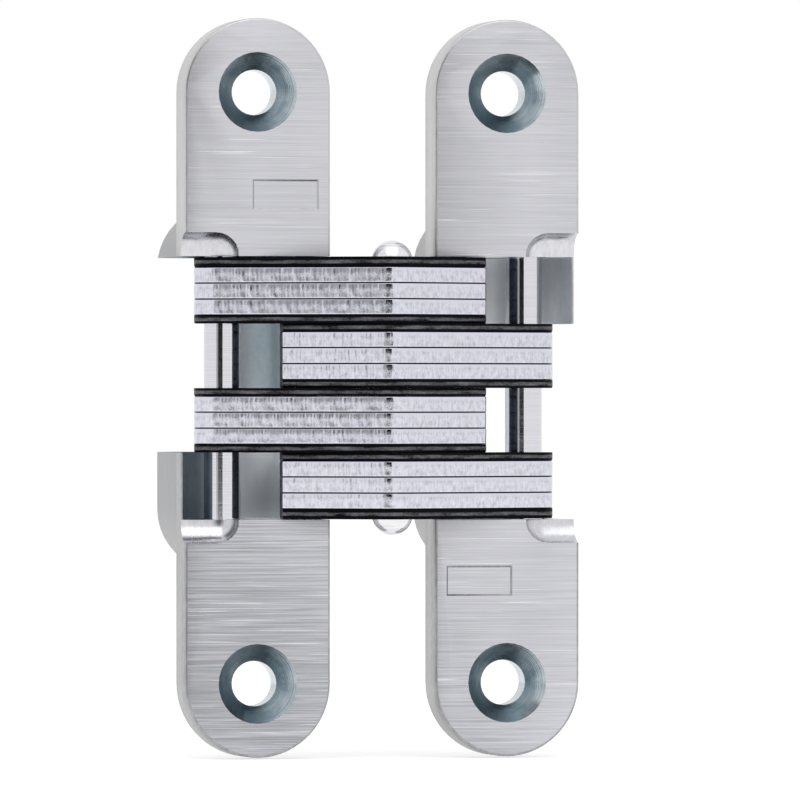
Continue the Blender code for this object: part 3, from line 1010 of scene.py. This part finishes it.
@dataclass
class LinkPacks:
    """Four links of five plates each, black outside and silver between."""

    pivots: Pivots
    silver: bpy.types.Material
    black: bpy.types.Material
    # painted shade for the plates' ends inside the pockets
    end_shade: bpy.types.Material
    hole_clearance: float = 0.09 * MM
    hole_points: int = 48
    waves: int = 60
    shortest_wave: float = 0.35 * MM
    longest_wave: float = 6.0 * MM
    lean: float = 900.0  # spread of the waves' lean, in radians a metre of height
    uv_shift: float = 0.37  # between the plates' patterns
    closing: float = 0.045 * MM  # added on both faces of a plate, so that no light shows between two
    end_reach: float = 8.0 * MM  # of the painted shade on the ends, from the short arm's pin
    turned_in: float = 0.64  # least part of a normal that looks into the pocket there

    def drag_marks(self, length: float, along: Array, height: Array, seed: int) -> Array:
        """Marks of the die: a sum of waves along the edge, each leaning a little with height.

        Args:
            length: The outline's whole length, which each wave fits a whole number of times.
            along: Distance along the edge.
            height: Height of each row.
            seed: Seed of the plate's own marks.

        Returns:
            (rows, points) of about -1 to 1.
        """
        draw = np.random.default_rng(seed)
        wave = np.exp(draw.uniform(math.log(self.shortest_wave), math.log(self.longest_wave), self.waves))
        cycles = np.maximum(1, np.round(length / wave))
        phase = draw.uniform(0, 2 * math.pi, self.waves)
        lean = draw.normal(0, self.lean, self.waves)
        angle = 2 * math.pi * np.multiply.outer(along / length, cycles) + phase
        angle = angle[None, :, :] + np.multiply.outer(height, lean)[:, None, :]
        return np.sin(angle).sum(axis=-1) / math.sqrt(self.waves)

    def plate(
        self, node: str, links: Set, edge: EdgeProfile, shape: LinkOutline, seed: int
    ) -> bpy.types.Mesh:
        """One plate: its edge profile carried along the outline, with flat faces and three holes.

        Args:
            node: The CAD node that gives its height and thickness.
            links: Its set.
            edge: The section of its edge.
            shape: The outline.
            seed: Seed of its drag marks.

        Returns:
            The mesh, in place.
        """
        low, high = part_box(node)
        outline, along = shape.of(links)
        normal = outward(outline)
        rows = edge.rows(high.z - low.z + 2 * self.closing)
        marks = self.drag_marks(along[-1] + shape.pitch, along, rows[:, 1], seed)
        inset = rows[:, 0][:, None] + edge.drag * rows[:, 2][:, None] * (1 + marks) * 0.5
        flat = outline[None] - normal[None] * inset[..., None]
        heights = np.broadcast_to(rows[:, 1][:, None], inset.shape)
        rim = np.concatenate([flat, heights[..., None]], axis=-1)
        over = np.broadcast_to(along + seed * self.uv_shift, inset.shape)
        rim_uv = np.stack([over, heights], axis=-1)

        rings, ring_uv = [rim.reshape(-1, 3)], [rim_uv.reshape(-1, 2)]
        quads = [ring_quads(len(rows), len(outline))]
        first = rim.size // 3
        lower = [(flat[0], 0)]
        upper = [(flat[-1], (len(rows) - 1) * len(outline))]
        turn = np.linspace(0, -2 * math.pi, self.hole_points, endpoint=False)
        for centre, radius in shape.holes(links, self.hole_clearance):
            ring = centre + radius * towards(turn)
            for height, loops in ((rows[0, 1], lower), (rows[-1, 1], upper)):
                loops.append((ring, first + (self.hole_points if loops is upper else 0)))
                rings.append(np.column_stack([ring, np.full(len(ring), height)]))
                ring_uv.append(ring)
            quads.append(ring_quads(2, self.hole_points, first))
            first += 2 * self.hole_points
        triangles = np.concatenate([self.cap(lower, False), self.cap(upper, True)])
        points = np.concatenate(rings)
        points += (*self.pivots.rivet, (high.z + low.z) / 2)
        mesh = mesh_from(node + "_plate", points, np.concatenate(quads), triangles, np.concatenate(ring_uv))
        kind = np.zeros(len(mesh.polygons), np.int32)
        # painted shade: the edge faces there take the second material
        kind[: len(quads[0])] = np.tile(self.in_pocket(outline, normal, links), len(rows) - 1)
        mesh.polygons.foreach_set("material_index", kind)
        return mesh

    def in_pocket(self, outline: Array, normal: Array, links: Set) -> Array:
        """Where the outline rounds the short arm's pin, turned into the pocket, which gets painted shade.

        Args:
            outline: (n, 2) places about the rivet.
            normal: (n, 2) outward normals.
            links: The set.

        Returns:
            (n,) of 1 there and 0 elsewhere.
        """
        _, side = links.value
        from_pin = np.linalg.norm(outline - (self.pivots.fixed[side] - self.pivots.rivet), axis=1)
        turned_in = normal[:, 0] * side.value > self.turned_in
        return (turned_in & (from_pin < self.end_reach)).astype(np.int32)

    @staticmethod
    def cap(loops: list[tuple[Array, int]], up: bool) -> Array:
        """Triangles that fill an outline round its holes.

        Args:
            loops: The outline and the holes, each with the number of its first point.
            up: Whether the face looks up.

        Returns:
            (k, 3) corners.
        """
        flat = [[Vector((x, y, 0.0)) for x, y in loop] for loop, _ in loops]
        numbers = np.concatenate([first + np.arange(len(loop)) for loop, first in loops])
        places = np.concatenate([loop for loop, _ in loops])
        filled = np.array(tessellate_polygon(flat))
        a, b, c = (places[filled[:, k]] for k in range(3))
        turn = (b[:, 0] - a[:, 0]) * (c[:, 1] - a[:, 1]) - (b[:, 1] - a[:, 1]) * (c[:, 0] - a[:, 0])
        wrong = (turn > 0) != up
        filled[wrong] = filled[wrong][:, ::-1]
        return numbers[filled]

    def dress(self, nodes: dict[str, bpy.types.Object]) -> None:
        """Replace every link node by its plate."""
        shape = LinkOutline(self.pivots)
        for seed, node in enumerate(sorted(name for name in nodes if name.startswith("link_"))):
            links = Set.A if node.split("_")[1] in ("1", "3") else Set.B
            black = "black" in node
            mesh = self.plate(node, links, BLACK_EDGE if black else SILVER_EDGE, shape, seed)
            mesh.materials.append(self.black if black else self.silver)
            mesh.materials.append(self.end_shade)
            body = "links_a" if links is Set.A else "links_b"
            add_piece(mesh, body, node)


@dataclass
class PinDress:
    """The four pins, turned and polished."""

    pivots: Pivots
    polished: bpy.types.Material
    chamfer: float = 0.3 * MM
    chamfer_rows: int = 6
    straight: float = 0.15 * MM  # beside each chamfer, so that the rest of the shaft is shaded level
    segments: int = 96

    def pin(self, node: str) -> bpy.types.Mesh:
        """A pin the size of its node, with rounded chamfers on its ends.

        Args:
            node: The node.

        Returns:
            The mesh, in place.
        """
        low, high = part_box(node)
        radius = (high.x - low.x) / 2
        turn = np.linspace(0, math.pi / 2, self.chamfer_rows)
        r = radius - self.chamfer * (1 - np.sin(turn))
        up = high.z - self.chamfer * (1 - np.cos(turn))
        r = np.append(r, radius)
        up = np.append(up, up[-1] - self.straight)
        top = np.stack([r, up], axis=-1)[::-1]
        bottom = np.stack([r, high.z + low.z - up], axis=-1)
        profile = np.vstack([bottom, top])
        return lathe(node + "_turned", profile, self.pivots.middle(node), self.segments)

    def dress(self) -> None:
        """Replace the pins."""
        bodies = {
            "left_fixed_pin": "left_leaf",
            "right_fixed_pin": "right_leaf",
            "left_slide_pin": "links_a",
            "right_slide_pin": "links_b",
        }
        for node, body in bodies.items():
            mesh = self.pin(node)
            mesh.materials.append(self.polished)
            add_piece(mesh, body, node)


@dataclass
class RivetDress:
    """The centre rivet with its two spun heads."""

    pivots: Pivots
    bright: bpy.types.Material
    shank: float = 3.6 * MM
    head_height: float = 2.1 * MM
    segments: int = 96
    dome_rows: int = 24
    pole_angle: float = 0.02  # of the dome's last row

    def profile(self) -> Array:
        """A spherical dome on each end of the shank, of the radius and height that give its box.

        Returns:
            (p, 2) radius and height, from pole to pole.
        """
        low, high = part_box("centre_rivet")
        half_width = (high.x - low.x) / 2
        ball = (half_width**2 + self.head_height**2) / (2 * self.head_height)
        rim = math.atan2(half_width, ball - self.head_height)
        turn = np.linspace(rim, self.pole_angle, self.dome_rows)
        r = ball * np.sin(turn)
        z = high.z - ball * (1 - np.cos(turn))
        dome = np.stack([r, z], axis=-1)
        above = np.vstack([(self.shank / 2, z[0]), dome])
        return np.vstack([above[::-1] * (1, -1), above])

    def dress(self) -> None:
        """Replace the rivet."""
        mesh = lathe("centre_rivet_spun", self.profile(), self.pivots.rivet, self.segments)
        mesh.materials.append(self.bright)
        add_piece(mesh, "links_a", "centre_rivet")


# The leaves


@dataclass
class LeafDress:
    """A leaf: the casting's own surface with its edges broken and a finish for each kind of face."""

    side: Side
    finishes: dict[Face, bpy.types.Material]
    countersink_radius: float = 5.3 * MM
    screw_offset: float = 38.1 * MM
    edge_width: float = 0.16 * MM
    edge_angle: float = math.radians(28)
    edge_rows: int = 3
    flange: float = 6.3 * MM
    pocket_half: float = 17.1 * MM
    pocket_middle: Pair = (10.5 * MM, 15.0 * MM)  # inset and depth
    seat_heights: Pair = (16.587 * MM, 20.5 * MM)  # above and below the hinge's middle
    seat_depth: float = 3.3 * MM
    front_depth: float = 0.4 * MM  # which takes in the name panels' floors
    flat: float = 0.995
    flat_angle: float = math.radians(0.3)
    same_place: float = 0.001 * MM
    sliver: float = 0.0005 * MM

    @property
    def node(self) -> str:
        """The CAD node."""
        return "left_leaf" if self.side is Side.LEFT else "right_leaf"

    def skin(self) -> bpy.types.Mesh:
        """The node's surface with its loose triangles joined and its flats made whole.

        Returns:
            The mesh, a copy.
        """
        source = bpy.data.objects[self.node].data
        places = read(source.vertices, "co", 3)
        corners = read(source.loops, "vertex_index", 1, np.int32).reshape(-1, 3)
        rough = mesh_from(self.node + "_casting", places, np.zeros((0, 4), int), corners)
        form = bmesh.new()
        form.from_mesh(rough)
        bmesh.ops.remove_doubles(form, verts=form.verts, dist=self.same_place)
        flat_edges = [e for e in form.edges if e.is_manifold and e.calc_face_angle() < self.flat_angle]
        bmesh.ops.dissolve_edges(form, edges=flat_edges, use_verts=False)
        bmesh.ops.dissolve_degenerate(form, dist=self.sliver, edges=form.edges)
        form.to_mesh(rough)
        form.free()
        return rough

    def sort_faces(self, mesh: bpy.types.Mesh) -> None:
        """Give each face its finish, by its normal and its place.

        Args:
            mesh: The leaf's mesh.
        """
        normal = read(mesh.polygons, "normal", 3)
        centre = read(mesh.polygons, "center", 3)
        low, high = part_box(self.node)
        depth = centre[:, 1] - low.y
        height = np.abs(centre[:, 2])
        from_hole = np.hypot(centre[:, 0] - (low.x + high.x) / 2, height - self.screw_offset)
        inner_edge = high.x if self.side is Side.LEFT else low.x
        inset, down = self.pocket_middle
        middle = np.array([inner_edge + self.side.value * inset, low.y + down, 0.0])
        faces_in = (normal * (middle - centre)).sum(axis=1) > 0
        seat = (height > self.seat_heights[0]) & (height < self.seat_heights[1]) & (depth < self.seat_depth)
        kind = np.where(depth < self.flange + self.edge_width, Face.FLANGE_SIDE, Face.CASING)
        kind[seat & (np.abs(normal[:, 0]) < self.flat)] = Face.RIVET_SEAT
        kind[faces_in & (height < self.pocket_half)] = Face.POCKET
        kind[(normal[:, 1] < -self.flat) & (depth < self.front_depth)] = Face.FRONT
        kind[(from_hole < self.countersink_radius) & (np.abs(normal[:, 1]) < self.flat)] = Face.COUNTERSINK
        mesh.polygons.foreach_set("material_index", kind.astype(np.int32))

    def dress(self) -> None:
        """Replace the leaf."""
        mesh = self.skin()
        for face in Face:
            mesh.materials.append(self.finishes[face])
        self.sort_faces(mesh)
        mesh.shade_smooth()
        piece = add_piece(mesh, self.node, self.node)
        broken = piece.modifiers.new("broken edges", "BEVEL")
        broken.width = self.edge_width
        broken.segments = self.edge_rows
        broken.limit_method = "ANGLE"
        broken.angle_limit = self.edge_angle
        broken.harden_normals = True
        broken.use_clamp_overlap = True


# The studio


@dataclass(frozen=True)
class Card:
    """A flat card that the polished metal shows, as a photographer stands round a hinge."""

    name: str
    azimuth: float  # from straight ahead of the hinge, positive to its right, in degrees
    distance: float
    width: float
    height: float
    tone: float


@dataclass
class Studio:
    """A white floor and surroundings, a soft box, two cards and the photograph's camera."""

    face_y: float
    floor_z: float
    turned: float = math.radians(12.2)
    distance: float = 1.5
    pixels_per_metre: float = 7752.0
    frame_pixels: float = 800.0
    hinge_middle: Pair = (382.85, 388.0)
    soft_light: float = 0.55
    box_place: Triple = (-0.1, -0.5, 0.9)
    box_size: float = 1.0
    box_watts: float = 3.0
    floor_reach: float = 6.0
    floor_tone: float = 0.9
    floor_glow: float = 0.55
    cards: tuple[Card, ...] = (
        Card("front card", azimuth=-24.0, distance=2.2, width=1.10, height=2.4, tone=0.02),
        Card("grey card", azimuth=-43.5, distance=2.2, width=0.42, height=2.4, tone=0.8),
    )

    def camera(self) -> None:
        """Stand the camera where the photograph's was: level, and a little to the left."""
        lens = bpy.data.cameras.new("camera")
        lens.sensor_width = 36.0
        lens.lens = lens.sensor_width * self.pixels_per_metre * self.distance / self.frame_pixels
        lens.clip_start = 0.05
        camera = put("camera", lens)
        right = Vector((math.cos(self.turned), -math.sin(self.turned), 0.0))
        forward = Vector((math.sin(self.turned), math.cos(self.turned), 0.0))
        half = self.frame_pixels / 2
        aside = (half - self.hinge_middle[0]) / self.pixels_per_metre
        below = (half - self.hinge_middle[1]) / self.pixels_per_metre
        target = Vector((0.0, self.face_y, 0.0)) + right * aside - Vector((0.0, 0.0, below))
        camera.location = target - forward * self.distance
        camera.rotation_euler = (math.pi / 2, 0.0, -self.turned)
        bpy.context.scene.camera = camera

    def soft_box(self) -> None:
        """A square soft box above, which looks at the hinge."""
        lamp = bpy.data.lights.new("top box", "AREA")
        lamp.size = self.box_size
        lamp.energy = self.box_watts
        box = put("top box", lamp)
        box.location = self.box_place
        box.rotation_euler = (-Vector(self.box_place)).to_track_quat("-Z", "Y").to_euler()

    def stand(self, name: str, points: Array, graph: Graph, mirrored_only: bool = False) -> None:
        """Put a plane in the studio.

        Args:
            name: Its name.
            points: (4, 3) corners.
            graph: Its material's nodes.
            mirrored_only: Whether only reflections show it.
        """
        mesh = mesh_from(name, points, np.array([[0, 1, 2, 3]]))
        mesh.materials.append(graph.material)
        plane = put(name, mesh)
        if mirrored_only:
            plane.visible_camera = False
            plane.visible_shadow = False
            plane.visible_diffuse = False
        plane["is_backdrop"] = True

    def card(self, card: Card) -> None:
        """Stand a card up, turned to the hinge."""
        across = np.array([-0.5, 0.5, 0.5, -0.5]) * card.width
        up = np.array([-0.5, -0.5, 0.5, 0.5]) * card.height
        turn = math.radians(card.azimuth)
        away = np.array([math.sin(turn), -math.cos(turn)]) * card.distance
        side = np.array([math.cos(turn), math.sin(turn)])
        points = np.column_stack([away + np.outer(across, side), up])
        graph = Graph(card.name)
        graph.show(graph.matt(card.tone))
        self.stand(card.name, points, graph, mirrored_only=True)

    def seen(self, graph: Graph) -> Signal:
        """Tell the rays that show the surroundings: straight, reflected or through glass.

        Args:
            graph: The nodes of the floor or the world.

        Returns:
            One for such a ray, else zero.
        """
        rays = graph.node("ShaderNodeLightPath")
        kinds = ("Is Camera Ray", "Is Glossy Ray", "Is Transmission Ray")
        camera, glossy, through = (Signal(graph, rays.outputs[kind]) for kind in kinds)
        return (camera + glossy + through).above(0.5)

    def world(self) -> None:
        """White where it is seen, and a softer light on everything else."""
        world = bpy.data.worlds.new("studio")
        world.use_nodes = True
        graph = Graph.of(world)
        strength = self.seen(graph) * (1 - self.soft_light) + self.soft_light
        white = (1.0, 1.0, 1.0, 1.0)
        graph.show(graph.node("ShaderNodeBackground", {"Color": white, "Strength": strength}))
        bpy.context.scene.world = world

    def floor(self) -> None:
        """A wide white floor under the hinge, white where it is seen, with the hinge's shadow."""
        corners = np.array([[-1, -1], [1, -1], [1, 1], [-1, 1]]) * self.floor_reach
        points = np.column_stack([corners, np.full(4, self.floor_z)])
        graph = Graph("white floor")
        matt = graph.matt(self.floor_tone)
        glow = graph.node("ShaderNodeEmission", {"Strength": self.seen(graph) * self.floor_glow})
        shaders = {0: Signal(graph, matt.outputs[0]), 1: Signal(graph, glow.outputs[0])}
        graph.show(graph.node("ShaderNodeAddShader", shaders))
        self.stand("floor", points, graph)

    def build(self) -> None:
        """Set the whole studio."""
        self.camera()
        self.world()
        self.floor()
        self.soft_box()
        for card in self.cards:
            self.card(card)
        bpy.context.scene.view_settings.view_transform = "Standard"


def main() -> None:
    """Load the frame, dress every node and set the studio."""
    logging.basicConfig(level=logging.INFO, format="%(name)s: %(message)s")
    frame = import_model()
    cad_low, cad_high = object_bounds()
    leaf_low, leaf_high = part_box("left_leaf")

    pivots = Pivots(frame)
    plate_looks = [look.make() for look in (ShearedSteel(), BlackenedSteel(), PaintedEndShade())]
    LinkPacks(pivots, *plate_looks).dress(frame["nodes"])
    PinDress(pivots, PolishedSteel().make()).dress()
    RivetDress(pivots, SPUN_HEAD.make()).dress()
    sink = TurnedSink(centre_x=abs(leaf_low.x + leaf_high.x) / 2, centre_z=LeafDress.screw_offset)
    looks = {
        Face.FRONT: SatinFace(),
        Face.FLANGE_SIDE: PlatedSide(),
        Face.CASING: CAST_CASING,
        Face.POCKET: PocketMetal(),
        Face.COUNTERSINK: sink,
        Face.RIVET_SEAT: RIVET_SEAT,
    }
    finishes = {face: look.make() for face, look in looks.items()}
    for side in Side:
        LeafDress(side, finishes).dress()
    Studio(face_y=leaf_low.y, floor_z=cad_low.z - FLOOR_GAP).build()


if __name__ == "__main__":
    main()
